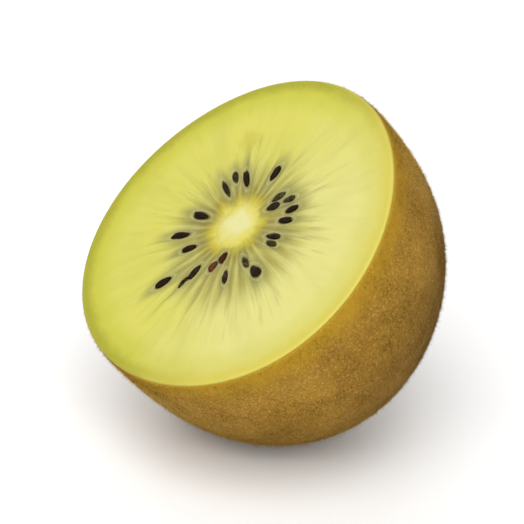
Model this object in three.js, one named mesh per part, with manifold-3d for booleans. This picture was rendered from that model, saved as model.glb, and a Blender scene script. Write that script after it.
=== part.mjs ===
// Half of a golden kiwi fruit, cut straight across its middle and lying on its side on a table.
// Millimetres, +Z up. The half rests on z = 0 on a small flat spot of its skin, and its cut face
// looks up and towards -Y. The origin is under the middle of the outline seen from above.
import * as THREE from "three";
import { mergeVertices } from "three/addons/utils/BufferGeometryUtils.js";
import Module from "manifold-3d";

const wasm = await Module();
wasm.setup();

// The fruit's outside
const CUT_RADIUS = 27.5; // of the skin where the fruit is cut
const HALF_LENGTH = 35; // from the cut to the stem end
const BLUNTNESS = 3; // of the stem end: 2 is half an ellipse, more is fuller
const OVALNESS = 0.017; // how far a section across the fruit is from round
const OVAL_TURN = -0.65; // which way it is wide, in radians
const LOPSIDEDNESS = 0.017; // the uneven swelling of three sides
const SWELLING_TURN = 1.1; // where the three sides swell, in radians
const BEND = new THREE.Vector2(-0.6, -2); // how far the stem end lies off the axis

// How it lies
const FACE_TILT = THREE.MathUtils.degToRad(41); // of the cut face from level
const SPOT_DEPTH = 0.6; // how far the skin gives where the fruit rests on it

// The stem scar, a raised ring with a pit in a shallow basin
const BASIN = { radius: 6, depth: 0.5 };
const RING = { radius: 2.5, width: 0.9, height: 0.8 };
const PIT = { radius: 1.3, depth: 0.9 };
const SCAR_FADES = [0.6, 0.9]; // where along the half the scar's relief sets in and is whole

// The tissues that the cut shows
const SKIN_THICKNESS = 0.8;
const GAP = 0.3; // between one tissue and the next
const FLESH_PROUD = 0.3; // how far the flesh swells past the skin's cut edge
const RIM_ROUNDING = 0.7; // of the flesh's edge at the cut
const RIM_STEPS = 3; // in that rounding
const CORE_RADIUS = 3.6;
const CORE_LENGTH = 30;
const CORE_WAVES = 5; // lobes of its outline, between the rows of seeds
const CORE_WAVE_HEIGHT = 0.05; // as a share of its radius
const CORE_OFFSET = new THREE.Vector2(-0.55, 0.8); // from the middle of the cut face

// The seeds, which lie in narrow chambers that stand round the core like spokes. Each entry is a
// chamber that the knife met a seed in and how far from the core's middle the seed lies.
const CHAMBERS = 36;
const SEEDS = [
  [0, 8.3], [1, 7.9], [3, 8.7], [4, 9.7], [5, 9.3], [6, 6.2], [7, 7.6], [9, 10.1], [13, 9.0],
  [14, 9.2], [15, 8.2], [19, 8.2], [21, 11.0], [23, 8.7], [25, 14.2], [26, 10.5], [28, 7.1],
  [29, 6.2], [30, 9.1], [32, 7.6], [33, 10.4],
];
const SEED_LENGTH = 2.9;
const SEED_RADIUS = 0.8;
const SEED_TAPER = 0.22; // how much slimmer it is towards its point, as a share
const SEED_SUNK = 0.3; // its middle below the cut face
const SEED_TURN = 0.2; // the most that a seed lies across its chamber, in radians

// How finely the surfaces are faceted
const SIDES = 60;
const ROWS = 14; // from the cut to where the basin of the scar begins
const SCAR_RADII = [7, 6, 5, 4.2, 3.4, 2.9, 2.5, 2.1, 1.6, 1, 0.5, 0];
const CORE_SIDES = 30;
const CORE_ROWS = 8;
const SEED_SIDES = 8;
const SEED_ROWS = 5;
const FAR = 100; // larger than the fruit, for the tools that trim it
const HAIR = 1e-6; // too small to matter

// A geometry as a solid that can be joined and cut, and back
function solidOf(geometry) {
  const bare = new THREE.BufferGeometry().setAttribute("position", geometry.getAttribute("position"));
  const merged = mergeVertices(bare.setIndex(geometry.getIndex()), 1e-4);
  return new wasm.Manifold(
    new wasm.Mesh({
      numProp: 3,
      vertProperties: merged.getAttribute("position").array,
      triVerts: new Uint32Array(merged.getIndex().array),
    }),
  );
}

function geometryOf(solid) {
  const mesh = solid.getMesh();
  const geometry = new THREE.BufferGeometry();
  geometry.setAttribute("position", new THREE.BufferAttribute(mesh.vertProperties, 3));
  geometry.setIndex(new THREE.BufferAttribute(mesh.triVerts, 1));
  const faceted = geometry.toNonIndexed();
  faceted.computeVertexNormals();
  return faceted;
}

// A profile of [radius, depth] pairs, from the stem end to the cut, turned round the fruit's axis.
// The cut face is on z = 0 and the fruit lies below it.
function turned(profile, sides) {
  const points = profile.map(([radius, depth]) => new THREE.Vector2(radius, -depth));
  return new THREE.LatheGeometry(points, sides).rotateX(Math.PI / 2);
}

function bell(distance, width) {
  return Math.exp(-((distance / width) ** 2));
}

// How far the surface at this radius stands out along the axis at the stem end
function scarRelief(radius) {
  const basin = -BASIN.depth * bell(radius, BASIN.radius);
  const ring = RING.height * bell(radius - RING.radius, RING.width);
  const pit = -PIT.depth * bell(radius, PIT.radius);
  return basin + ring + pit;
}

// Gives a turned shape the fruit's own unevenness and its stem scar
function asGrown(geometry) {
  const position = geometry.getAttribute("position");
  for (let i = 0; i < position.count; i++) {
    const [x, y, z] = [position.getX(i), position.getY(i), position.getZ(i)];
    const bearing = Math.atan2(y, x);
    const oval = OVALNESS * Math.cos(2 * bearing + OVAL_TURN);
    const swell = 1 + oval + LOPSIDEDNESS * Math.cos(3 * bearing + SWELLING_TURN);
    const along = Math.max(0, -z) / HALF_LENGTH;
    const atEnd = THREE.MathUtils.smoothstep(along, ...SCAR_FADES);
    position.setX(i, x * swell + BEND.x * along ** 2);
    position.setY(i, y * swell + BEND.y * along ** 2);
    position.setZ(i, z - atEnd * scarRelief(Math.hypot(x, y)));
  }
  return geometry;
}

// The fruit's outline a given distance inside its skin, from the stem end up to the cut
function outline(inset) {
  const radius = CUT_RADIUS - inset;
  const length = HALF_LENGTH - inset;
  const lastTurn = Math.acos(SCAR_RADII[0] / radius);
  const side = Array.from({ length: ROWS }, (_, row) => (lastTurn * row) / ROWS);
  const end = SCAR_RADII.map((r) => Math.acos(r / radius));
  return [...side, ...end]
    .reverse()
    .map((turn) => [radius * Math.cos(turn), length * Math.sin(turn) ** (2 / BLUNTNESS)]);
}

// The space inside one layer of the fruit, closed flat at the given height over the cut
function layer(inset, top) {
  const rim = CUT_RADIUS - inset;
  const points = outline(inset).filter(([, depth]) => depth > -top + HAIR);
  return asGrown(turned([...points, [rim, -top], [0, -top]], SIDES));
}

// The table that the fruit rests on, raised by a thickness, in the frame of the cut face
function table(faceHeight, raisedBy) {
  return new THREE.BoxGeometry(2 * FAR, 2 * FAR, FAR)
    .translate(0, 0, -FAR / 2 - faceHeight + raisedBy)
    .rotateX(-FACE_TILT);
}

function coreShape(grownBy, top) {
  const profile = [[0, CORE_LENGTH + grownBy]];
  for (let row = CORE_ROWS - 1; row >= 0; row--) {
    const along = row / CORE_ROWS;
    profile.push([(CORE_RADIUS + grownBy) * Math.sqrt(1 - along ** 2), along * (CORE_LENGTH + grownBy)]);
  }
  profile.push(...(top > 0 ? [[CORE_RADIUS + grownBy, -top]] : []), [0, -top]);
  const core = turned(profile, CORE_SIDES);
  const position = core.getAttribute("position");
  for (let i = 0; i < position.count; i++) {
    const bearing = Math.atan2(position.getY(i), position.getX(i));
    const wave = 1 + CORE_WAVE_HEIGHT * Math.cos(CORE_WAVES * bearing);
    position.setXY(i, position.getX(i) * wave, position.getY(i) * wave);
  }
  return core.translate(CORE_OFFSET.x, CORE_OFFSET.y, 0);
}

// A drop with its point towards the core, as long and as thick as a seed
function seedShape() {
  const profile = Array.from({ length: SEED_ROWS + 1 }, (_, row) => {
    const turn = (Math.PI * row) / SEED_ROWS;
    const fullness = 1 - SEED_TAPER * Math.cos(turn);
    const radius = row === 0 || row === SEED_ROWS ? 0 : SEED_RADIUS * Math.sin(turn) * fullness;
    return new THREE.Vector2(radius, (-SEED_LENGTH / 2) * Math.cos(turn));
  });
  return new THREE.LatheGeometry(profile, SEED_SIDES).rotateZ(-Math.PI / 2).rotateX(Math.PI / SEED_SIDES);
}

// The same row of numbers between -1 and 1 every time
function draws(seed) {
  let state = seed;
  return () => {
    state = (state * 16807) % 2147483647;
    return (2 * state) / 2147483647 - 1;
  };
}

function seedSolids() {
  const draw = draws(7);
  return SEEDS.map(([chamber, distance]) => {
    const bearing = (2 * Math.PI * chamber) / CHAMBERS;
    const seed = seedShape()
      .rotateZ(bearing + SEED_TURN * draw())
      .translate(distance * Math.cos(bearing), distance * Math.sin(bearing), -SEED_SUNK)
      .translate(CORE_OFFSET.x, CORE_OFFSET.y, 0);
    return solidOf(seed);
  });
}

function skinSolid(faceHeight) {
  const outside = solidOf(layer(0, -FLESH_PROUD)).subtract(solidOf(table(faceHeight, 0)));
  const inside = solidOf(layer(SKIN_THICKNESS, FAR)).subtract(solidOf(table(faceHeight, SKIN_THICKNESS)));
  return outside.subtract(inside);
}

function fleshSolid(faceHeight) {
  const inset = SKIN_THICKNESS + GAP;
  const rim = CUT_RADIUS - inset;
  const rounded = Array.from({ length: RIM_STEPS + 1 }, (_, step) => {
    const turn = (Math.PI / 2) * (step / RIM_STEPS);
    return [rim - RIM_ROUNDING * (1 - Math.cos(turn)), RIM_ROUNDING * (1 - Math.sin(turn))];
  });
  const side = outline(inset).filter(([, depth]) => depth > RIM_ROUNDING);
  const whole = solidOf(asGrown(turned([...side, ...rounded, [0, 0]], SIDES)));
  const seeded = seedSolids().reduce((flesh, seed) => flesh.add(seed), whole);
  return seeded.subtract(solidOf(coreShape(GAP, FAR))).subtract(solidOf(table(faceHeight, inset)));
}

function tissue(name, solid, color, roughness) {
  const material = new THREE.MeshStandardMaterial({ color, roughness, metalness: 0 });
  const mesh = new THREE.Mesh(geometryOf(solid), material);
  mesh.name = name;
  return mesh;
}

// How high the middle of the cut face lies when the skin has given by SPOT_DEPTH
const leaned = layer(0, -FLESH_PROUD).rotateX(FACE_TILT);
leaned.computeBoundingBox();
const faceHeight = -leaned.boundingBox.min.z - SPOT_DEPTH;

const half = new THREE.Group();
half.add(tissue("skin", skinSolid(faceHeight), 0x7a5a2c, 0.8));
half.add(tissue("flesh", fleshSolid(faceHeight), 0xdcd94f, 0.35));
half.add(tissue("core", solidOf(coreShape(0, 0)), 0xf0ebb0, 0.5));
half.rotation.x = FACE_TILT;

const kiwi = new THREE.Group();
kiwi.add(half);
kiwi.updateMatrixWorld(true);
const middle = new THREE.Box3().setFromObject(kiwi, true).getCenter(new THREE.Vector3());
half.position.set(-middle.x, -middle.y, faceHeight);

export default kiwi;
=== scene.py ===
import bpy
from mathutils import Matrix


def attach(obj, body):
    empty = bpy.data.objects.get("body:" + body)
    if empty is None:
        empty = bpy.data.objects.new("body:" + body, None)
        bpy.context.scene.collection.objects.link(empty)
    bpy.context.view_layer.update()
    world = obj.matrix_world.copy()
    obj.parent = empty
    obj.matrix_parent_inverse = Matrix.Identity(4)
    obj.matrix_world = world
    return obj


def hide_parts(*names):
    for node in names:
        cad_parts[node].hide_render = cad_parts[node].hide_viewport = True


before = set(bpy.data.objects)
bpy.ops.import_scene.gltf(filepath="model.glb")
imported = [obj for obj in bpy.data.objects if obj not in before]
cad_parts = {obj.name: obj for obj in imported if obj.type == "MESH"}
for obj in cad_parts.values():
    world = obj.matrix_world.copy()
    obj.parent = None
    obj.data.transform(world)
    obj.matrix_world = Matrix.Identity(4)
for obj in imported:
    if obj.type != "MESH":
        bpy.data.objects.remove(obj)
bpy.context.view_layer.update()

# Half of a golden kiwi fruit, lying on its side on a pale floor with its cut face leaning back.
# Each piece is modelled in millimetres with the cut face on z = 0 and the fruit below it, and is
# then laid down where the frame has it, in metres.
import math

import bpy
from mathutils import Matrix, Vector, noise

MM = 0.001

# The fruit's outside
CUT_RADIUS = 27.5
HALF_LENGTH = 35.0
BLUNTNESS = 3.0  # of the stem end: 2 is half an ellipse, more is fuller
OVALNESS, OVAL_TURN = 0.017, -0.65
LOPSIDEDNESS, SWELLING_TURN = 0.017, 1.1
BEND = Vector((-0.6, -2.0, 0))  # how far the stem end lies off the axis
SCAR_FADES = (0.6, 0.9)  # along the half, where the scar's relief sets in and is whole
BASIN_RADIUS, BASIN_DEPTH = 6.0, 0.5
RING_RADIUS, RING_WIDTH, RING_HEIGHT = 2.5, 0.9, 0.8
PIT_RADIUS, PIT_DEPTH = 1.3, 0.9
CREASE_RADIUS, CREASE_REACH, CREASE_HEIGHT = 4.2, 2.2, 0.5  # of the folds round the ring
CRUMB_REACH, CRUMB_HEIGHT = 1.2, 0.35  # of the cork on the ring

# How it lies
FACE_TILT = math.radians(41)
SPOT_DEPTH = 0.6  # how far the skin gives where it rests

# The tissues
FUZZ_DEPTH = 0.25  # of the skin under the outline, which the tips of its fuzz reach
RANKS = Vector((0.523, 0.467, 0.713)), Vector((0.713, 0.523, 0.467))  # ways to put its faces in order
SKIN_THICKNESS = 0.34
FLESH_INSET = FUZZ_DEPTH + SKIN_THICKNESS + 0.02
FLESH_PROUD = 0.3  # how far the flesh swells past the skin's cut edge
RIM_INSET = 0.3  # of the flesh where it swells
RIM_ROUNDING = 0.45
CORE_RADIUS = 3.6
CORE_LENGTH = 30.0
CORE_LOBES, CORE_LOBE_HEIGHT = 5, 0.05
CORE_RAYS, CORE_RAY_HEIGHT = 36, 0.025
CORE_RISE = 0.08
CORE_LAP = 0.3  # of its cap over the flesh round it
CORE_MIDDLE = Vector((-0.55, 0.8, 0))
HEART_MIDDLE = CORE_MIDDLE + Vector((-0.5, 0.1, 0))  # of the pale heart and the bands round it
BRUISE_MIDDLE = Vector((-10.7, 12.9, 0))
TIGHT = 0.015  # of the edge where flesh and core meet

# The relief of the cut face
CHAMBER_DEPTH = 0.09
FIBRE_HEIGHT = 0.05
CELL_HEIGHT = 0.02
POCKET_DEPTH, POCKET_LIP = 0.28, 0.05  # round each seed
UNEVENNESS = 0.12

# The seeds: the bearing of each, counted in chambers, its distance from the core's middle, its
# length and width, how high its middle lies over the cut face, how much gel veils it, and how far
# it lies across its chamber, in degrees
CHAMBERS = 36
SEEDS = [
    (0.2, 8.1, 2.1, 0.9, -0.10, 0.2, 10), (1.0, 7.6, 2.6, 1.0, -0.12, 0.1, 12),
    (3.0, 8.6, 2.4, 1.05, 0.00, 0.0, 0), (4.2, 9.4, 2.2, 1.0, -0.05, 0.0, 10),
    (5.5, 9.0, 2.3, 1.0, -0.15, 0.4, -8), (5.7, 6.2, 2.3, 1.15, 0.00, 0.1, -8),
    (6.7, 7.5, 2.5, 1.15, -0.12, 0.4, -6), (9.5, 9.8, 2.7, 1.0, 0.00, 0.0, -2),
    (12.7, 8.6, 3.2, 0.95, 0.00, 0.0, 14), (14.0, 9.8, 2.2, 1.0, -0.15, 0.4, 8),
    (15.2, 8.5, 3.4, 0.8, -0.10, 0.2, 5), (19.0, 8.2, 3.0, 1.25, 0.05, 0.0, 4),
    (21.2, 10.5, 3.3, 1.0, 0.00, 0.0, 0), (23.0, 8.7, 2.5, 0.9, 0.00, 0.0, -3),
    (24.8, 14.1, 2.9, 1.05, 0.05, 0.0, -4), (26.2, 9.4, 2.7, 1.05, -0.05, 0.1, 6),
    (27.9, 7.2, 1.9, 1.1, -0.10, 0.1, -14), (28.8, 5.5, 1.9, 1.1, -0.05, 0.0, -10),
    (30.2, 8.9, 2.4, 0.85, -0.10, 0.2, 8), (32.6, 7.4, 2.4, 0.95, -0.20, 0.6, 10),
    (33.4, 10.3, 2.5, 1.5, 0.05, 0.0, 10), (26.1, 11.5, 2.5, 0.32, -0.06, 0.4, 2),
]
SEED_THICKNESS = 0.9
SEED_TAPER = 0.22
FAR_FROM_SEEDS = 9.0  # in half widths of a seed
CROWD_REACH = 1.7
BROWN_SEEDS = {17: 1.0, 18: 0.4}  # redder than the others, and how much

# Colours of the cut face, linear
HEART = (0.68, 0.645, 0.30)
HEART_EDGE = (0.64, 0.565, 0.11)
GOLD = (0.46, 0.38, 0.03)
DARK_GOLD = (0.33, 0.275, 0.035)
SEED_ZONE = (0.42, 0.385, 0.085)
# CREAM, CREAM_EDGE and LEMON are paler copies of YELLOW, YELLOW_EDGE and LEAF, for painted light on the
# side of +X
CREAM = (0.65, 0.615, 0.205)
YELLOW = (0.60, 0.57, 0.105)
CREAM_EDGE = (0.60, 0.56, 0.14)
YELLOW_EDGE = (0.52, 0.505, 0.055)
LEMON = (0.58, 0.505, 0.085)
LEAF = (0.36, 0.345, 0.025)
AMBER = (0.34, 0.24, 0.018)
OLIVE = (0.20, 0.18, 0.045)
WALL = (0.63, 0.60, 0.23)
GEL = (0.19, 0.17, 0.07)
BRUISE = (0.42, 0.34, 0.02)

# Colours of the seeds, linear
SEED_BLACK = (0.004, 0.002, 0.001)
SEED_BROWN = (0.024, 0.011, 0.003)
SEED_RED = (0.15, 0.04, 0.012)

# Colours of the skin and its fuzz, linear
SPECKLE = 1.5  # specks to a millimetre
SKIN_TAN = (0.34, 0.175, 0.020)
SKIN_BRONZE = (0.42, 0.235, 0.028)
SKIN_PATCH = (0.21, 0.105, 0.014)
SKIN_GRAIN = (0.12, 0.055, 0.009)
SKIN_SPECK = (0.68, 0.46, 0.12)
SKIN_AMBER = (0.44, 0.26, 0.011)
# SKIN_DARK is also the colour of the painted shade towards the stem end and on the side between +X and +Y
SKIN_DARK = (0.15, 0.073, 0.011)
CORK = (0.36, 0.235, 0.11)
PIT = (0.03, 0.018, 0.01)
FUZZ_ROOT, FUZZ_TIP = (0.34, 0.18, 0.014), (0.58, 0.35, 0.05)
BRISTLE_ROOT, BRISTLE_TIP = (0.42, 0.24, 0.03), (0.74, 0.50, 0.12)

# The camera, from the photograph's angle
CAMERA_DISTANCE = 0.7
CAMERA_AZIMUTH = math.radians(54.8)
CAMERA_ELEVATION = math.radians(24.4)
CAMERA_LENS = 324.6
AIM_RIGHT, AIM_DOWN = 3.72 * MM, 4.49 * MM  # of the middle of the cut face

# The light, from all round and stronger from one side
BRIGHT_SIDE = Vector((-0.4, -0.5, 0.77))
EVEN_LIGHT, SIDE_LIGHT = 0.30, 0.35


def smoothstep(value, low, high):
    share = min(max((value - low) / (high - low), 0), 1)
    return share * share * (3 - 2 * share)


def bell(distance, width):
    return math.exp(-((distance / width) ** 2))


# The fruit's form, as in the frame


def scar_relief(radius):
    """How far the surface stands out along the axis at the stem end."""
    basin = -BASIN_DEPTH * bell(radius, BASIN_RADIUS)
    ring = RING_HEIGHT * bell(radius - RING_RADIUS, RING_WIDTH)
    pit = -PIT_DEPTH * bell(radius, PIT_RADIUS)
    return basin + ring + pit


def grown(point):
    """A point of the turned shape, moved by the fruit's own unevenness."""
    x, y, z = point
    bearing = math.atan2(y, x)
    oval = OVALNESS * math.cos(2 * bearing + OVAL_TURN)
    swell = 1 + oval + LOPSIDEDNESS * math.cos(3 * bearing + SWELLING_TURN)
    along = max(0, -z) / HALF_LENGTH
    at_end = smoothstep(along, *SCAR_FADES)
    spot = Vector((x * swell, y * swell, z - at_end * scar_relief(math.hypot(x, y))))
    return spot + BEND * along**2


def outline(inset, rows):
    """[radius, height] points down the fruit's side, a distance inside its skin, from cut to stem."""
    turns = [math.pi / 2 * row / rows for row in range(rows + 1)]
    return [
        ((CUT_RADIUS - inset) * math.cos(turn), (inset - HALF_LENGTH) * math.sin(turn) ** (2 / BLUNTNESS))
        for turn in turns
    ]


def resting_place():
    """Where the middle of the cut face comes to lie, in millimetres."""
    lean = Matrix.Rotation(FACE_TILT, 3, "X")
    bearings = [math.tau * side / 60 for side in range(60)]
    points = [
        lean @ grown((radius * math.cos(bearing), radius * math.sin(bearing), min(height, -FLESH_PROUD)))
        for radius, height in outline(0, 60)
        for bearing in bearings
    ]
    low = [min(point[axis] for point in points) for axis in range(3)]
    high = [max(point[axis] for point in points) for axis in range(3)]
    return Vector((-(low[0] + high[0]) / 2, -(low[1] + high[1]) / 2, -low[2] - SPOT_DEPTH))


FACE_MIDDLE = resting_place() * MM
LAID = Matrix.Translation(FACE_MIDDLE) @ Matrix.Rotation(FACE_TILT, 4, "X") @ Matrix.Scale(MM, 4)
SCAR = LAID @ (BEND - Vector((0, 0, HALF_LENGTH)))


# Modelling


def start(add, name, **settings):
    """A new primitive, the only thing selected."""
    bpy.ops.object.select_all(action="DESELECT")
    add(**settings)
    piece = bpy.context.object
    piece.name = name
    piece.data.name = name
    return piece


def only(piece):
    bpy.ops.object.select_all(action="DESELECT")
    piece.select_set(True)
    bpy.context.view_layer.objects.active = piece


def turned(name, profile, sides):
    """A profile of [radius, height] points, with both ends on the axis, spun into a closed body."""
    piece = start(bpy.ops.mesh.primitive_plane_add, name, size=1, location=(0, 0, 0))
    bpy.ops.object.mode_set(mode="EDIT")
    bpy.ops.mesh.merge(type="CENTER")
    previous = Vector((0, 0, 0))
    for index, (radius, height) in enumerate(profile):
        step = Vector((radius, 0, height)) - previous
        if index == 0:
            bpy.ops.transform.translate(value=step)
        else:
            bpy.ops.mesh.extrude_region_move(TRANSFORM_OT_translate={"value": step})
        previous += step
    bpy.ops.mesh.select_all(action="SELECT")
    bpy.ops.mesh.spin(steps=sides, angle=math.tau, center=(0, 0, 0), axis=(0, 0, 1))
    bpy.ops.mesh.select_all(action="SELECT")
    bpy.ops.mesh.remove_doubles(threshold=1e-5)
    bpy.ops.mesh.normals_make_consistent(inside=False)
    bpy.ops.object.mode_set(mode="OBJECT")
    return piece


def laid_down(piece, floors=()):
    """Puts a piece where it lies in the frame, its place in its mesh, no vertex below its own floor."""
    only(piece)
    piece.matrix_world = LAID
    bpy.ops.object.transform_apply(location=True, rotation=True, scale=True)
    for vertex, floor in zip(piece.data.vertices, floors):
        vertex.co.z = max(vertex.co.z, floor * MM)
    return piece


def finished(piece, material, slot, *nodes):
    """Smooth shading, a material, and what the piece is to the frame."""
    only(piece)
    bpy.ops.object.shade_smooth()
    piece.data.materials.clear()
    piece.data.materials.append(material)
    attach(piece, "root")
    if nodes:
        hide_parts(*nodes)
    return piece


def core_edge(bearing):
    """The core's outline, as a share of its radius."""
    lobes = CORE_LOBE_HEIGHT * math.cos(CORE_LOBES * bearing)
    rays = CORE_RAY_HEIGHT * math.cos(CORE_RAYS * bearing + math.pi)
    return 1 + lobes + rays


# Skin


def skin_profile():
    lip = SKIN_THICKNESS / 2
    top = -RIM_ROUNDING - lip
    outside = [point for point in reversed(outline(FUZZ_DEPTH, 165)) if point[1] < top - 0.1]
    lip_turns = [math.pi * step / 6 for step in range(7)]
    edge = [
        (CUT_RADIUS - FUZZ_DEPTH - lip + lip * math.cos(turn), top + lip * math.sin(turn))
        for turn in lip_turns
    ]
    inside = [point for point in outline(FUZZ_DEPTH + SKIN_THICKNESS, 24) if point[1] < top - 0.1]
    return outside + edge + inside


def weathering(point):
    """The skin's own relief: gentle lumps, a fine grain, and creases that run in to the scar."""
    lumps = 0.16 * noise.noise(point / 8) + 0.07 * noise.noise(point / 3)
    grain = 0.035 * noise.noise(point / 0.9)
    nearest = noise.voronoi(point / 1.5)[0][0]
    specks = 0.05 * (1 - smoothstep(nearest, 0.1, 0.4))
    radius = math.hypot(point.x, point.y)
    bearing = math.atan2(point.y, point.x)
    folds = noise.noise(Vector((3.5 * math.cos(bearing), 3.5 * math.sin(bearing), 0)))
    at_end = smoothstep(-point.z, *(HALF_LENGTH * share for share in SCAR_FADES))
    creases = CREASE_HEIGHT * folds * bell(radius - CREASE_RADIUS, CREASE_REACH) * at_end
    crumbs = CRUMB_HEIGHT * noise.noise(point / 0.6) * bell(radius - RING_RADIUS, CRUMB_REACH) * at_end
    return lumps + grain + specks + creases + crumbs


def make_skin():
    skin = turned("skin", skin_profile(), 500)
    floors = []
    for vertex in skin.data.vertices:
        x, y, z = vertex.co
        level = (
            (math.hypot(x, y) / (CUT_RADIUS - FUZZ_DEPTH)) ** 2
            + (-min(z, 0) / (HALF_LENGTH - FUZZ_DEPTH)) ** BLUNTNESS
        )
        outer = smoothstep(level, 0.98, 0.99) * smoothstep(-z, 0.6, 2.5)
        out = Vector((x, y, z * CUT_RADIUS / HALF_LENGTH)).normalized()
        floors.append(0 if level > 0.985 else SKIN_THICKNESS)
        vertex.co = grown(vertex.co) + out * outer * weathering(vertex.co)
    return laid_down(skin, floors)


# Flesh


def placed_seeds():
    """Each seed's middle, the way that its point faces, its length and width, all on the face."""
    places = []
    for chamber, distance, length, width, rise, _, turn in SEEDS:
        bearing = math.tau * chamber / CHAMBERS
        middle = CORE_MIDDLE + Vector((distance * math.cos(bearing), distance * math.sin(bearing), rise))
        places.append((middle, bearing + math.radians(turn), length, width))
    return places


SEED_PLACES = placed_seeds()


def seeds_near(point):
    """How far a point of the face lies from the nearest seed, 1 at its edge, and how they crowd there."""
    nearest, crowd = FAR_FROM_SEEDS, 0
    for middle, bearing, length, width in SEED_PLACES:
        away = point - middle
        if abs(away.x) < 5 and abs(away.y) < 5:
            along = away.x * math.cos(bearing) + away.y * math.sin(bearing)
            across = away.y * math.cos(bearing) - away.x * math.sin(bearing)
            nearest = min(nearest, math.hypot(2 * along / length, 2 * across / width))
            crowd += bell(math.hypot(along, across), CROWD_REACH)
    return nearest, crowd


def flesh_profile():
    rim = CUT_RADIUS - RIM_INSET
    wall = [
        (CORE_RADIUS * math.sqrt(1 - (row / 8) ** 2), -row / 8 * CORE_LENGTH) for row in range(8, 0, -1)
    ]
    inner = [(CORE_RADIUS, -0.3), (CORE_RADIUS, -TIGHT), (CORE_RADIUS + TIGHT, 0)]
    reach = rim - RIM_ROUNDING
    first = CORE_RADIUS + 0.25
    face = [(first + (reach - first) * step / 92, 0) for step in range(92)]
    turns = [math.pi / 2 * step / 8 for step in range(9)]
    rounded = [
        (reach + RIM_ROUNDING * math.sin(turn), RIM_ROUNDING * (math.cos(turn) - 1)) for turn in turns
    ]
    side = [(CUT_RADIUS - FLESH_INSET, -RIM_ROUNDING - 0.1)]
    side += [point for point in outline(FLESH_INSET, 26) if point[1] < -RIM_ROUNDING - 0.3]
    return wall + inner + face + rounded + side


def face_relief(point, seed):
    """The cut face's relief: chambers a little sunken, walls between them proud, seeds in pockets."""
    away = point - CORE_MIDDLE
    radius = math.hypot(away.x, away.y)
    bearing = math.atan2(away.y, away.x)
    reach = smoothstep(radius, 4.2, 6.5) * (1 - smoothstep(radius, 10, 16.5))
    wave = math.cos(CHAMBERS * bearing)
    fibres = noise.noise(Vector((14 * math.cos(bearing), 14 * math.sin(bearing), radius / 5)))
    chambers = -CHAMBER_DEPTH * reach * smoothstep(wave, -0.6, 0.8)
    fibrous = FIBRE_HEIGHT * fibres * smoothstep(radius, 4.5, 8) * (1 - smoothstep(radius, 20, 26))
    cells = CELL_HEIGHT * noise.noise(point / 0.7)
    pocket = -POCKET_DEPTH * bell(seed, 1.05) + POCKET_LIP * bell(seed - 1.5, 0.3)
    uneven = UNEVENNESS * noise.noise(point / 9)
    return chambers + fibrous + cells + pocket + uneven


def make_flesh():
    flesh = turned("flesh", flesh_profile(), 432)
    mesh = flesh.data
    seed_distance = mesh.attributes.new("seed_distance", "FLOAT", "POINT")
    crowding = mesh.attributes.new("crowding", "FLOAT", "POINT")
    for index, vertex in enumerate(mesh.vertices):
        x, y, z = vertex.co
        radius = math.hypot(x, y)
        on_hole = radius <= CORE_RADIUS + TIGHT / 2 and z > -CORE_LENGTH - TIGHT
        on_face = not on_hole and z > -RIM_ROUNDING
        shift = (1 - smoothstep(radius, 4, 12)) if on_hole or on_face else 0
        bearing = math.atan2(y, x)
        edge = 1 + (core_edge(bearing) - 1) * (1 - smoothstep(radius, 3.8, 6))
        spot = Vector((x * edge, y * edge, z)) if on_hole or on_face else vertex.co.copy()
        if not on_hole:
            spot = grown(spot)
        spot += CORE_MIDDLE * shift
        seed, crowd = seeds_near(spot) if on_face else (FAR_FROM_SEEDS, 0)
        seed_distance.data[index].value = seed
        crowding.data[index].value = crowd
        if on_face:
            spot.z += face_relief(spot, seed) * smoothstep(CUT_RADIUS - radius, 0.6, 2.5)
        vertex.co = spot
    return laid_down(flesh, [FLESH_INSET] * len(mesh.vertices))


def make_core():
    """The core, whose cap laps a little over the flesh, so that no seam shows between them."""
    cap = CORE_RADIUS + CORE_LAP
    profile = [(cap * step / 24, CORE_RISE * (0.75 - (step / 24) ** 8)) for step in range(25)]
    profile += [(cap - 0.02, -0.25), (CORE_RADIUS, -0.4)]
    profile += [
        (CORE_RADIUS * math.sqrt(1 - (row / 26) ** 2), -row / 26 * CORE_LENGTH) for row in range(1, 27)
    ]
    core = turned("core", profile, 180)
    for vertex in core.data.vertices:
        x, y, z = vertex.co
        share = core_edge(math.atan2(y, x))
        spot = Vector((x * share, y * share, z)) + CORE_MIDDLE
        if z > -0.1:
            spot.z += face_relief(spot, FAR_FROM_SEEDS)
        vertex.co = spot
    return laid_down(core)


def make_seeds(material):
    pattern = start(
        bpy.ops.mesh.primitive_uv_sphere_add, "seed_pattern", segments=28, ring_count=18, radius=1
    )
    pattern.data.transform(Matrix.Rotation(math.pi / 2, 4, "Y"))
    for vertex in pattern.data.vertices:
        x, y, z = vertex.co
        slim = (1 + SEED_TAPER * x) * (1 - 0.1 * x**4)
        vertex.co = Vector((x, y * slim, z * slim))
    seeds = []
    for number, (middle, bearing, length, width) in enumerate(SEED_PLACES, 1):
        only(pattern)
        bpy.ops.object.duplicate()
        seed = bpy.context.object
        seed.name = f"seed_{number:02d}"
        seed.data.name = seed.name
        brown = seed.data.attributes.new("brown", "FLOAT", "POINT")
        veil = seed.data.attributes.new("veil", "FLOAT", "POINT")
        for index, vertex in enumerate(seed.data.vertices):
            brown.data[index].value = BROWN_SEEDS.get(number, 0)
            veil.data[index].value = SEEDS[number - 1][5]
            lumps = noise.noise(vertex.co * 1.1 + Vector((number * 7, 0, 0)))
            bent = Vector((0, 0.25 * lumps * vertex.co.x**2, 0))
            vertex.co = vertex.co * (1 + 0.22 * lumps) + bent
        size = Matrix.Diagonal((length / 2, width / 2, SEED_THICKNESS / 2, 1))
        seed.data.transform(Matrix.Translation(middle) @ Matrix.Rotation(bearing, 4, "Z") @ size)
        seeds.append(finished(laid_down(seed), material, "seed"))
    bpy.data.objects.remove(pattern)
    return seeds


# Materials and other node trees


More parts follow.
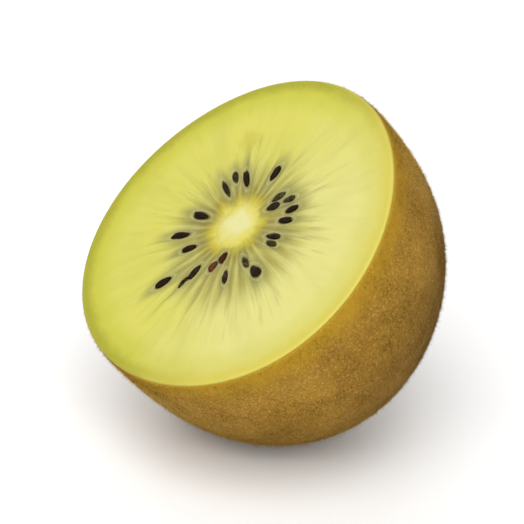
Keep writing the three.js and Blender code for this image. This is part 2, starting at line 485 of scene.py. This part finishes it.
class Value:
    """An output of a node. An operator on it adds a Math node."""

    def __init__(self, tree, socket):
        self.tree = tree
        self.socket = socket

    def math(self, operation, *others):
        return self.tree.node("ShaderNodeMath", {"operation": operation}, dict(enumerate((self, *others))))

    def output(self, name):
        return Value(self.tree, self.socket.node.outputs[name])

    def __add__(self, other):
        return self.math("ADD", other)

    def __sub__(self, other):
        return self.math("SUBTRACT", other)

    def __mul__(self, other):
        return self.math("MULTIPLY", other)

    def __truediv__(self, other):
        return self.math("DIVIDE", other)

    def __pow__(self, other):
        return self.math("POWER", other)

    def __rsub__(self, other):
        return self * -1 + other

    __radd__ = __add__
    __rmul__ = __mul__


class Tree:
    """The nodes of a material or of a modifier, added by node and by operators on Values."""

    def __init__(self, nodes, links):
        self.nodes = nodes
        self.links = links

    def node(self, kind, settings=None, sockets=None):
        made = self.nodes.new(kind)
        for name, setting in (settings or {}).items():
            setattr(made, name, setting)
        enabled = {socket.name: socket for socket in reversed(made.inputs) if socket.enabled}
        for name, value in (sockets or {}).items():
            self.feed(made.inputs[name] if isinstance(name, int) else enabled[name], value)
        outputs = [socket for socket in made.outputs if socket.enabled]
        return Value(self, outputs[0]) if outputs else made

    def feed(self, socket, value):
        if isinstance(value, Value):
            self.links.new(value.socket, socket)
        elif isinstance(value, tuple) and len(value) == 3 and socket.type == "RGBA":
            socket.default_value = (*value, 1)
        else:
            socket.default_value = value

    def mix(self, share, first, second):
        """One colour going over into another."""
        sockets = {"Factor": share, "A": first, "B": second}
        return self.node("ShaderNodeMix", {"data_type": "RGBA"}, sockets)

    def mix_number(self, share, first, second):
        return first * (1 - share) + second * share

    def smooth(self, value, low, high):
        """0 below low and 1 above high, with a smooth way between."""
        sockets = {"Value": value, "From Min": low, "From Max": high}
        return self.node("ShaderNodeMapRange", {"interpolation_type": "SMOOTHSTEP"}, sockets)

    def noise(self, vector, scale, detail=2.0, roughness=0.5):
        sockets = {"Vector": vector, "Scale": scale, "Detail": detail, "Roughness": roughness}
        return self.node("ShaderNodeTexNoise", None, sockets)

    def voronoi(self, vector, scale):
        return self.node("ShaderNodeTexVoronoi", None, {"Vector": vector, "Scale": scale})

    def bump(self, height, distance, strength=1.0):
        sockets = {"Height": height, "Distance": distance, "Strength": strength}
        return self.node("ShaderNodeBump", None, sockets)

    def vector(self, x, y, z):
        return self.node("ShaderNodeCombineXYZ", None, {"X": x, "Y": y, "Z": z})


class Finish(Tree):
    """A material. Its constants go straight on the shader's sockets."""

    def __init__(self, name, **constants):
        self.material = bpy.data.materials.new(name)
        self.material.use_nodes = True
        super().__init__(self.material.node_tree.nodes, self.material.node_tree.links)
        self.shader = next(node for node in self.nodes if node.type == "BSDF_PRINCIPLED")
        self.wear(**constants)

    def wear(self, **values):
        for name, value in values.items():
            self.feed(self.shader.inputs[name.replace("_", " ")], value)

    def place(self, middle=Vector((0, 0, 0))):
        """Where a point lies in the cut face's frame, in millimetres from a middle on the face."""
        spot = self.node("ShaderNodeTexCoord").output("Object")
        sockets = {
            "Vector": spot, "Location": LAID @ middle, "Rotation": (FACE_TILT, 0, 0), "Scale": (MM, MM, MM)
        }
        return self.node("ShaderNodeMapping", {"vector_type": "TEXTURE"}, sockets)

    def polar(self, place):
        """Radius, bearing and height of a place, and the direction that the bearing points in."""
        parts = self.node("ShaderNodeSeparateXYZ", None, {"Vector": place})
        x, y, height = parts.output("X"), parts.output("Y"), parts.output("Z")
        radius = (x * x + y * y) ** 0.5
        return radius, y.math("ARCTAN2", x), height, (x / radius, y / radius)


def show_cut(tissue, seed_distance, crowding):
    """The colours of the cut face, from the cream heart of the core out to the skin."""
    heart = tissue.place(HEART_MIDDLE)
    from_heart = tissue.polar(heart)[0]
    radius, bearing, _, (east, north) = tissue.polar(tissue.place(CORE_MIDDLE))
    whole = tissue.place()
    from_axis, all_round, depth, (right, away) = tissue.polar(whole)
    oval = (all_round * 2 + OVAL_TURN).math("COSINE") * OVALNESS
    swell = oval + (all_round * 3 + SWELLING_TURN).math("COSINE") * LOPSIDEDNESS + 1

    broad = tissue.noise(whole, 0.09, 2)
    mottle = tissue.noise(whole, 0.3, 3, 0.6)
    cells = tissue.noise(whole, 1.9, 2, 0.6)
    rays = tissue.noise(tissue.vector(east * 6, north * 6, radius * 0.08), 1.0, 2, 0.6)
    fibres = tissue.noise(tissue.vector(east * 15, north * 15, radius * 0.12), 1.0, 2, 0.55)
    threads = tissue.noise(tissue.vector(east * 38, north * 38, radius * 0.16), 1.0, 1)

    # Bands from the core outwards, with painted light making them paler and creamier on the side of +X
    lumps = tissue.noise(heart, 0.3, 1)
    wavy = from_heart + (lumps - 0.5) * 4
    uneven = from_heart + (rays - 0.5) * 2 + (fibres - 0.5) * 1.4
    painted_lit_side = tissue.smooth(right + (broad - 0.5) * 0.8, -0.3, 0.8)
    inwards = radius - (right - away) * 1.2
    pulp = tissue.mix(painted_lit_side, YELLOW, CREAM)
    edge = tissue.mix(painted_lit_side, YELLOW_EDGE, CREAM_EDGE)
    rim = tissue.mix(painted_lit_side, LEAF, LEMON)
    outwards = from_axis / swell + (mottle - 0.5) * 2
    colour = tissue.mix(tissue.smooth(wavy, 1.3, 3.7), HEART, HEART_EDGE)
    colour = tissue.mix(tissue.smooth(uneven, 3.3, 4.9) * 0.9, colour, GOLD)
    colour = tissue.mix(tissue.smooth(uneven, 4.6, 6.0), colour, DARK_GOLD)
    colour = tissue.mix(tissue.smooth(uneven, 6.2, 7.8), colour, SEED_ZONE)
    colour = tissue.mix(
        tissue.smooth(inwards + (rays - 0.5) * 4 + (fibres - 0.5) * 2, 9.2, 14.5), colour, pulp
    )
    colour = tissue.mix(tissue.smooth(outwards, 20.5, 24.8), colour, edge)
    colour = tissue.mix(tissue.smooth(outwards, 24.2, 26.6), colour, rim)
    colour = tissue.mix(tissue.smooth(depth * -1, 0.12, 0.5), colour, AMBER)

    # Chambers, darker and more see-through, with pale walls between them
    wave = ((bearing + (rays - 0.5) * 0.12) * CHAMBERS).math("COSINE")
    strength = tissue.smooth(rays, 0.3, 0.62)
    reach = tissue.smooth(uneven, 5.0, 6.6) * (1 - tissue.smooth(inwards + (rays - 0.5) * 12, 9.5, 17))
    chamber = tissue.smooth(wave, -0.4, 0.95) * strength * reach
    colour = tissue.mix(chamber * 0.45, colour, OLIVE)
    colour = tissue.mix((1 - tissue.smooth(wave, -0.9, 0.2)) * reach * 0.32, colour, WALL)

    # Fibres running outwards
    out = tissue.smooth(uneven, 5.0, 7.5) * (1 - tissue.smooth(inwards + (rays - 0.5) * 16, 11, 20))
    dark_fibre = tissue.smooth(fibres, 0.52, 0.75) * out
    pale_fibre = (1 - tissue.smooth(fibres, 0.27, 0.45)) * out
    thread = tissue.smooth(threads, 0.5, 0.75) * out
    colour = tissue.mix(dark_fibre * 0.40, colour, OLIVE)
    colour = tissue.mix(pale_fibre * 0.25, colour, WALL)
    colour = tissue.mix(thread * 0.25, colour, OLIVE)

    # Faint rays right out to the rim, and one bruise
    faint = tissue.smooth(from_axis, 10, 14) * (1 - tissue.smooth(from_axis, 22, 26))
    colour = tissue.mix(tissue.smooth(rays, 0.4, 0.75) * faint * 0.10, colour, OLIVE)
    colour = tissue.mix(tissue.smooth(fibres, 0.5, 0.75) * faint * 0.06, colour, OLIVE)
    bruise = 1 - tissue.smooth(tissue.polar(tissue.place(BRUISE_MIDDLE))[0] + (mottle - 0.5) * 4, 0.5, 2.4)
    colour = tissue.mix(bruise * 0.35, colour, BRUISE)

    # Grey gel round the seeds, with a painted highlight: a pale line where the gel meets each of them
    gel = (1 - tissue.smooth(seed_distance, 1.1, 3.8)) * (0.35 + fibres * 0.5)
    gel = gel.math("MAXIMUM", tissue.smooth(crowding, 0.6, 1.5) * 0.85)
    colour = tissue.mix(gel, colour, GEL)
    painted_glint = 1 - tissue.smooth((seed_distance - 1.45).math("ABSOLUTE"), 0.05, 0.35)
    colour = tissue.mix(painted_glint * cells * 0.5, colour, WALL)

    colour = tissue.mix((cells - 0.4) * 0.2, colour, WALL)
    relief = cells * 0.4 + dark_fibre * -0.4 + pale_fibre * 0.3
    roughness = 0.40 + cells * 0.16 - chamber * 0.08
    tissue.wear(Base_Color=colour, Roughness=roughness, Normal=tissue.bump(relief, 0.0001, 0.6))
    return tissue.material


def tissue_finish(name):
    """What all the wet tissue of the cut has in common."""
    return Finish(
        name, Subsurface_Weight=0.35, Subsurface_Radius=(1.0, 0.8, 0.3), Subsurface_Scale=0.0015,
        Specular_IOR_Level=0.4, IOR=1.36,
    )


def flesh_finish():
    flesh = tissue_finish("flesh")
    distance = flesh.node("ShaderNodeAttribute", {"attribute_name": "seed_distance"}).output("Fac")
    crowding = flesh.node("ShaderNodeAttribute", {"attribute_name": "crowding"}).output("Fac")
    return show_cut(flesh, distance, crowding)


def core_finish():
    core = tissue_finish("core")
    nothing = core.node("ShaderNodeValue")
    return show_cut(core, nothing + FAR_FROM_SEEDS, nothing + 0)


def seed_finish():
    seed = Finish("seed", Specular_IOR_Level=0.07)
    place = seed.place()
    pits = seed.voronoi(place, 5.5)
    tone = seed.noise(place, 0.9, 2)
    brown = seed.node("ShaderNodeAttribute", {"attribute_name": "brown"}).output("Fac")
    colour = seed.mix(tone, SEED_BLACK, SEED_BROWN)
    colour = seed.mix(brown * (tone * 1.2), colour, SEED_RED)
    veil = seed.node("ShaderNodeAttribute", {"attribute_name": "veil"}).output("Fac")
    colour = seed.mix(veil * seed.smooth(seed.noise(place, 1.3, 2), 0.3, 0.7) * 0.7, colour, GEL)
    seed.wear(Base_Color=colour, Roughness=0.3 + pits * 0.35, Normal=seed.bump(pits, 0.00008, 0.5))
    return seed.material


def amber(finish, place):
    """How much the flesh shines through the skin, most at the cut."""
    depth = finish.polar(place)[2] * -1
    return 1 - finish.smooth(depth + finish.noise(place, 0.25, 3, 0.6) * 3, 1.9, 8.0)


def painted_shade(finish, place):
    """Painted shade: how much darker the skin is painted, most at the stem end and on the side between +X
    and +Y, where shade falls.
    """
    _, _, height, (right, away) = finish.polar(place)
    depth = (finish.noise(place, 0.1, 2) - 0.5) * 8 - height
    painted_side_shade = finish.smooth(right + away, 0.2, 1.35) * finish.smooth(depth, 6, 20)
    return finish.smooth(depth, 5, 30) * 0.5 + painted_side_shade * 0.4


def speckle(finish, place):
    """The pale specks that the fuzz stands in, 1 on a speck."""
    return 1 - finish.smooth(finish.voronoi(place, SPECKLE), 0.15, 0.5)


def skin_finish():
    skin = Finish(
        "skin", Specular_IOR_Level=0.12, Sheen_Weight=0.04, Sheen_Roughness=0.5,
        Sheen_Tint=(0.85, 0.55, 0.18, 1),
    )
    place = skin.place()
    broad = skin.noise(place, 0.07, 3, 0.6)
    patch = skin.noise(place, 0.25, 3, 0.6)
    grain = skin.noise(place, 2.4, 3, 0.6)
    speck = speckle(skin, place)

    colour = skin.mix(skin.smooth(broad, 0.35, 0.65), SKIN_TAN, SKIN_BRONZE)
    colour = skin.mix(skin.smooth(patch, 0.4, 0.7) * 0.3, colour, SKIN_PATCH)
    colour = skin.mix(skin.smooth(grain, 0.45, 0.7) * 0.5, colour, SKIN_GRAIN)
    colour = skin.mix(speck * 0.35, colour, SKIN_SPECK)
    # Painted shade, darker towards the stem end and on the side between +X and +Y
    colour = skin.mix(painted_shade(skin, place), colour, SKIN_DARK)
    colour = skin.mix(amber(skin, place) * 0.8, colour, SKIN_AMBER)

    # Cork on the stem scar, a dark pit in it and a dark line round it
    radius, _, height, _ = skin.polar(skin.place(BEND))
    at_end = skin.smooth(height * -1, HALF_LENGTH - 4, HALF_LENGTH - 2)
    ragged = radius + (patch - 0.5) * 1.6 + (grain - 0.5) * 1.2
    colour = skin.mix(at_end * (1 - skin.smooth(ragged, 3.6, 5.5)) * 0.6, colour, SKIN_DARK)
    cork = skin.mix(skin.smooth(grain, 0.35, 0.65) * 0.7, CORK, SKIN_DARK)
    colour = skin.mix(at_end * (1 - skin.smooth(ragged, 3.0, 3.9)) * 0.85, colour, cork)
    colour = skin.mix(at_end * (1 - skin.smooth(ragged, 0.7, 1.7)) * 0.9, colour, PIT)

    relief = grain * 0.5 + speck * 0.6
    skin.wear(
        Base_Color=colour, Roughness=0.62 + grain * 0.25, Normal=skin.bump(relief, 0.00012, 0.7)
    )
    return skin.material


def fuzz_finish(name, root, tip):
    """A hair's colour goes from its root to its tip, and changes with the skin's specks and patches."""
    fuzz = Finish(name, Specular_IOR_Level=0.1)
    place = fuzz.place()
    patch = fuzz.noise(place, 0.25, 3, 0.6)
    tone = fuzz.noise(place, 1.5, 2, 0.7)
    along = fuzz.node("ShaderNodeAttribute", {"attribute_name": "tip"}).output("Fac")
    dark = tuple(part * 0.55 for part in root)
    colour = fuzz.mix(fuzz.smooth(along, 0.05, 0.6), root, tip)
    colour = fuzz.mix(fuzz.smooth(tone, 0.40, 0.62) * 0.5, colour, dark)
    colour = fuzz.mix(fuzz.smooth(patch, 0.45, 0.7) * 0.2, colour, dark)
    colour = fuzz.mix(speckle(fuzz, place) * 0.25, colour, tip)
    # Painted shade, darker towards the stem end and on the side between +X and +Y
    colour = fuzz.mix(painted_shade(fuzz, place), colour, SKIN_DARK)
    colour = fuzz.mix(amber(fuzz, place) * 0.7, colour, SKIN_AMBER)
    fuzz.wear(Base_Color=colour, Roughness=0.5 + tone * 0.2)
    return fuzz.material


# Fuzz


def fuzz_carrier(name):
    """The skin's outside, for hairs to stand on."""
    root = FUZZ_DEPTH + 0.06
    outside = [point for point in reversed(outline(root, 80)) if point[1] < -0.75]
    carrier = turned(name, [*outside, (CUT_RADIUS - root, -0.7)], 220)
    for vertex in carrier.data.vertices:
        vertex.co = grown(vertex.co)
    return laid_down(carrier)


def hair_shape():
    """A needle one unit long, which knows where its tip is."""
    hair = start(
        bpy.ops.mesh.primitive_cone_add, "hair", vertices=3, radius1=0.5, radius2=0, depth=1,
        location=(0, 0, 0.5), end_fill_type="NGON",
    )
    bpy.ops.object.transform_apply(location=True, rotation=True, scale=True)
    tip = hair.data.attributes.new("tip", "FLOAT", "POINT")
    for vertex in hair.data.vertices:
        tip.data[vertex.index].value = vertex.co.z
    return hair


def make_fuzz(name, material, draw, per_square, lengths, width, leans):
    """Hairs standing on the skin, leaning together in tufts, as one mesh.

    There are per_square of them to a square millimetre, with lengths and width in millimetres, and
    they lean by an angle between the two leans. Another draw scatters them another way.
    """
    hair = hair_shape()
    carrier = fuzz_carrier(name)
    group = bpy.data.node_groups.new(name, "GeometryNodeTree")
    group.interface.new_socket("Geometry", in_out="INPUT", socket_type="NodeSocketGeometry")
    group.interface.new_socket("Geometry", in_out="OUTPUT", socket_type="NodeSocketGeometry")
    tree = Tree(group.nodes, group.links)

    surface = tree.node("NodeGroupInput").output("Geometry")
    where = tree.node("GeometryNodeInputPosition")
    height = tree.node("ShaderNodeSeparateXYZ", None, {"Vector": where}).output("Z")
    between = tree.node("ShaderNodeVectorMath", {"operation": "DISTANCE"}, {0: where, 1: SCAR})
    from_scar = between.output("Value")
    density = tree.smooth(height, 0.15 * MM, 0.8 * MM) * (per_square / MM**2)
    density = density * tree.smooth(from_scar, (RING_RADIUS + 0.3) * MM, CREASE_RADIUS * MM)

    # Spin leaves the faces in another order each run, and the draws go by that order
    for way in RANKS:
        rank = tree.node("ShaderNodeVectorMath", {"operation": "DOT_PRODUCT"}, {0: where, 1: way})
        sockets = {"Geometry": surface, "Sort Weight": rank.output("Value")}
        surface = tree.node("GeometryNodeSortElements", {"domain": "FACE"}, sockets)
    points = tree.node(
        "GeometryNodeDistributePointsOnFaces", None, {"Mesh": surface, "Density": density, "Seed": draw}
    )

    tuft = tree.noise(where, 1.1 / MM, 1) * 2.2 - 0.6
    chance = {"data_type": "FLOAT"}
    any_way = tree.node("FunctionNodeRandomValue", chance, {2: 0.0, 3: math.tau, "Seed": draw + 1})
    lean = tree.node("FunctionNodeRandomValue", chance, {2: leans[0], 3: leans[1], "Seed": draw + 2})
    together = tree.noise(where, 0.5 / MM, 1) * (4 * math.pi)
    turn = tree.mix_number(0.55, together, any_way)
    rotation = points.output("Rotation")
    for angles in (tree.vector(0, 0, turn), tree.vector(0, lean, 0)):
        turned_by = tree.node("FunctionNodeEulerToRotation", None, {"Euler": angles})
        sockets = {"Rotation": rotation, "Rotate By": turned_by}
        rotation = tree.node("FunctionNodeRotateRotation", {"rotation_space": "LOCAL"}, sockets)
    length = tree.node(
        "FunctionNodeRandomValue", chance, {2: lengths[0] * MM, 3: lengths[1] * MM, "Seed": draw + 3}
    )
    size = tree.vector(width * MM, width * MM, length * tree.smooth(tuft, 0, 1) * 0.5 + length * 0.6)
    one = tree.node("GeometryNodeObjectInfo", None, {"Object": hair}).output("Geometry")
    hairs = tree.node(
        "GeometryNodeInstanceOnPoints", None,
        {"Points": points, "Instance": one, "Rotation": rotation, "Scale": size},
    )
    real = tree.node("GeometryNodeRealizeInstances", None, {"Geometry": hairs})

    # No hair reaches into the floor
    now = tree.node("ShaderNodeSeparateXYZ", None, {"Vector": tree.node("GeometryNodeInputPosition")})
    above = tree.vector(now.output("X"), now.output("Y"), now.output("Z").math("MAXIMUM", 0.02 * MM))
    kept = tree.node("GeometryNodeSetPosition", None, {"Geometry": real, "Position": above})
    tree.node("NodeGroupOutput", None, {"Geometry": kept})

    only(carrier)
    modifier = carrier.modifiers.new(name, "NODES")
    modifier.node_group = group
    bpy.ops.object.modifier_apply(modifier=name)
    bpy.data.node_groups.remove(group)
    bpy.data.objects.remove(hair)
    return finished(carrier, material, "skin")


# Stage


def make_floor():
    """A wide pale floor that curves up far from the fruit."""
    turns = [math.pi / 16 * step for step in range(1, 9)]
    profile = [(0, 0), (2.0, 0)]
    profile += [(2.0 + math.sin(turn), 1 - math.cos(turn)) for turn in turns]
    profile += [(3.0, 2.0)]
    floor = start(bpy.ops.mesh.primitive_plane_add, "floor", size=1, location=(0, 0, 0))
    bpy.ops.object.mode_set(mode="EDIT")
    bpy.ops.mesh.merge(type="CENTER")
    for (radius, height), (next_radius, next_height) in zip(profile, profile[1:]):
        step = (next_radius - radius, 0, next_height - height)
        bpy.ops.mesh.extrude_region_move(TRANSFORM_OT_translate={"value": step})
    bpy.ops.mesh.select_all(action="SELECT")
    bpy.ops.mesh.spin(steps=96, angle=math.tau, center=(0, 0, 0), axis=(0, 0, 1))
    bpy.ops.mesh.select_all(action="SELECT")
    bpy.ops.mesh.remove_doubles(threshold=1e-5)
    bpy.ops.mesh.normals_make_consistent(inside=True)
    bpy.ops.object.mode_set(mode="OBJECT")
    bpy.ops.object.shade_smooth()
    paint = Finish(
        "floor", Base_Color=(0.92, 0.92, 0.915, 1), Roughness=0.6, Specular_IOR_Level=0.15,
        Emission_Color=(1, 1, 1, 1), Emission_Strength=0.05,
    )
    floor.data.materials.append(paint.material)
    return floor


def make_light(name, direction, distance, size, power):
    """A square soft light that looks at the fruit from a direction."""
    away = Vector(direction).normalized() * distance
    bpy.ops.object.light_add(type="AREA", location=away)
    light = bpy.context.object
    light.name = name
    light.rotation_euler = away.to_track_quat("Z", "Y").to_euler()
    light.data.size = size
    light.data.energy = power
    return light


def make_world():
    """Soft light from all round, stronger from above and the left of the camera."""
    world = bpy.data.worlds.new("studio")
    bpy.context.scene.world = world
    world.use_nodes = True
    tree = Tree(world.node_tree.nodes, world.node_tree.links)
    way = tree.node("ShaderNodeTexCoord").output("Generated")
    facing = tree.node("ShaderNodeVectorMath", {"operation": "DOT_PRODUCT"}, {0: way, 1: BRIGHT_SIDE})
    background = next(node for node in world.node_tree.nodes if node.type == "BACKGROUND")
    tree.feed(background.inputs["Color"], (1, 1, 1))
    tree.feed(background.inputs["Strength"], facing.output("Value") * SIDE_LIGHT + EVEN_LIGHT)


def make_camera():
    back = Vector((
        math.sin(CAMERA_AZIMUTH) * math.cos(CAMERA_ELEVATION),
        -math.cos(CAMERA_AZIMUTH) * math.cos(CAMERA_ELEVATION),
        math.sin(CAMERA_ELEVATION),
    ))
    turn = back.to_track_quat("Z", "Y")
    aim = FACE_MIDDLE + turn @ Vector((AIM_RIGHT, -AIM_DOWN, 0))
    bpy.ops.object.camera_add(location=aim + back * CAMERA_DISTANCE, rotation=turn.to_euler())
    camera = bpy.context.object
    camera.data.lens = CAMERA_LENS
    camera.data.sensor_width = 36
    camera.data.clip_start = 0.05
    bpy.context.scene.camera = camera


make_camera()
make_world()
make_floor()
make_light("key", (0.45, -0.45, 1.25), distance=1.1, size=0.9, power=6.5)
make_light("fill", (0.75, -0.5, 0.5), distance=1.2, size=0.8, power=5.5)
make_light("back", (-0.9, 0.45, 0.5), distance=1.2, size=0.9, power=4)
bpy.context.scene.view_settings.view_transform = "Standard"

finished(make_skin(), skin_finish(), "skin", "skin")
finished(make_flesh(), flesh_finish(), "flesh", "flesh")
finished(make_core(), core_finish(), "core", "core")
make_seeds(seed_finish())
fuzz = fuzz_finish("fuzz", FUZZ_ROOT, FUZZ_TIP)
bristle = fuzz_finish("bristle", BRISTLE_ROOT, BRISTLE_TIP)
for number in range(1, 4):
    make_fuzz(
        f"fuzz_{number}", fuzz, draw=10 * number, per_square=8.5, lengths=(0.25, 0.6), width=0.055,
        leans=(0.1, 0.95),
    )
make_fuzz("fuzz_tufts", bristle, draw=50, per_square=1.6, lengths=(0.35, 0.6), width=0.17, leans=(0.1, 0.9))
make_fuzz("fuzz_long", bristle, draw=60, per_square=3.0, lengths=(0.7, 1.15), width=0.05, leans=(0.1, 0.8))
